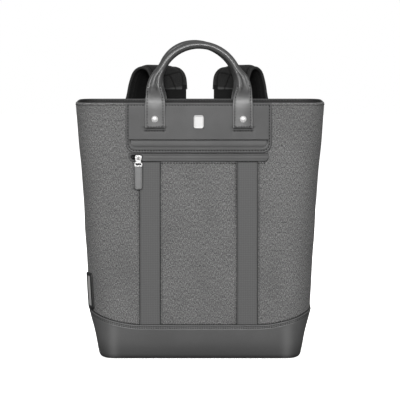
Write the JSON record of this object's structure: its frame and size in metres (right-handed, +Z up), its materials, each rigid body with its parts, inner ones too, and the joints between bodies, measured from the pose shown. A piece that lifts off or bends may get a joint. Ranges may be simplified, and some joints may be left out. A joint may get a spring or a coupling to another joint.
{
  "type": "convertible backpack",
  "caption": "Tall open fabric tote with a moulded leather base and yoke, front pocket zip, rolled handles and padded shoulder straps behind.",
  "frame": {"origin": "on the ground under the middle of the base", "axes": "+Z up, the front with the pocket zip faces -Y, +X to the right seen from the front"},
  "size_m": [0.391, 0.2242, 0.5004],
  "materials": {
    "fabric": "grey melange, matte",
    "webbing": "ribbed grey webbing",
    "leather": "smooth grey leather, satin",
    "lining": "dark woven lining",
    "strap": "charcoal woven, matte",
    "metal": "satin nickel",
    "plastic": "black, matte"
  },
  "bodies": {
    "root": {"base_cup": "leather", "front_panel": "fabric", "side_panel_left": "fabric", "side_panel_right": "fabric", "back_panel": "fabric", "lining": "lining", "strip_left": "webbing", "strip_right": "webbing", "front_yoke": "leather", "yoke_band": "leather", "zip_band": "leather", "zip_tape": "plastic", "zip_slider": "metal", "zip_link": "metal", "zip_pull": "leather", "handle_front": "leather", "handle_back": "leather", "rivet_front_left": "metal", "rivet_front_right": "metal", "rivet_back_left": "metal", "rivet_back_right": "metal", "emblem_plate": "metal", "side_plate_frame": "plastic", "side_plate_face": "metal", "strap_root_left": "strap", "strap_root_right": "strap", "strap_pad_left": "strap", "strap_pad_right": "strap", "strap_buckle_left": "plastic", "strap_buckle_right": "plastic", "strap_web_left": "webbing", "strap_web_right": "webbing", "strap_anchor_left": "webbing", "strap_anchor_right": "webbing"}
  },
  "joints": []
}
